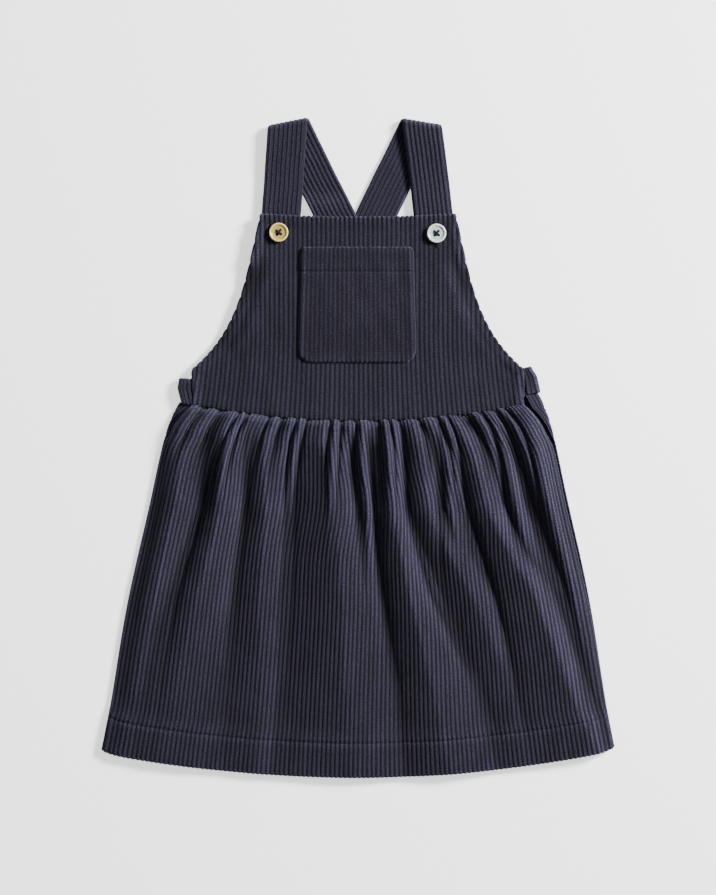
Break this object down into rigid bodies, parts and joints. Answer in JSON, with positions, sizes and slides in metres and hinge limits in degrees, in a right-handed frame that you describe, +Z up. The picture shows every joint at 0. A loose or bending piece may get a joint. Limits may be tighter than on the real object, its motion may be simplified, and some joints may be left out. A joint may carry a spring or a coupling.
{
  "type": "pinafore dress",
  "caption": "Child's corduroy pinafore dress laid flat, with a bib and patch pocket, buttoned straps that cross behind, an elastic back waist and a gathered skirt.",
  "frame": {"origin": "on the surface that the dress lies on, under the middle of its outline", "axes": "+Y from the hem to the shoulders, +Z up off the surface through the back panel and then the front, +X to the wearer's left"},
  "size_m": [0.384, 0.4946, 0.0162],
  "materials": {
    "corduroy": "wide-wale cotton corduroy with a matt, brushed pile",
    "shell": "polished shell with a soft pearly sheen",
    "horn": "polished horn, mottled tan and brown"
  },
  "bodies": {
    "root": {"front_bib": "corduroy", "bib_pocket": "corduroy", "front_skirt": "corduroy", "back_skirt": "corduroy", "back_waistband": "corduroy", "strap_left": "corduroy", "strap_right": "corduroy", "button_left": "shell", "button_right": "horn"}
  },
  "joints": []
}
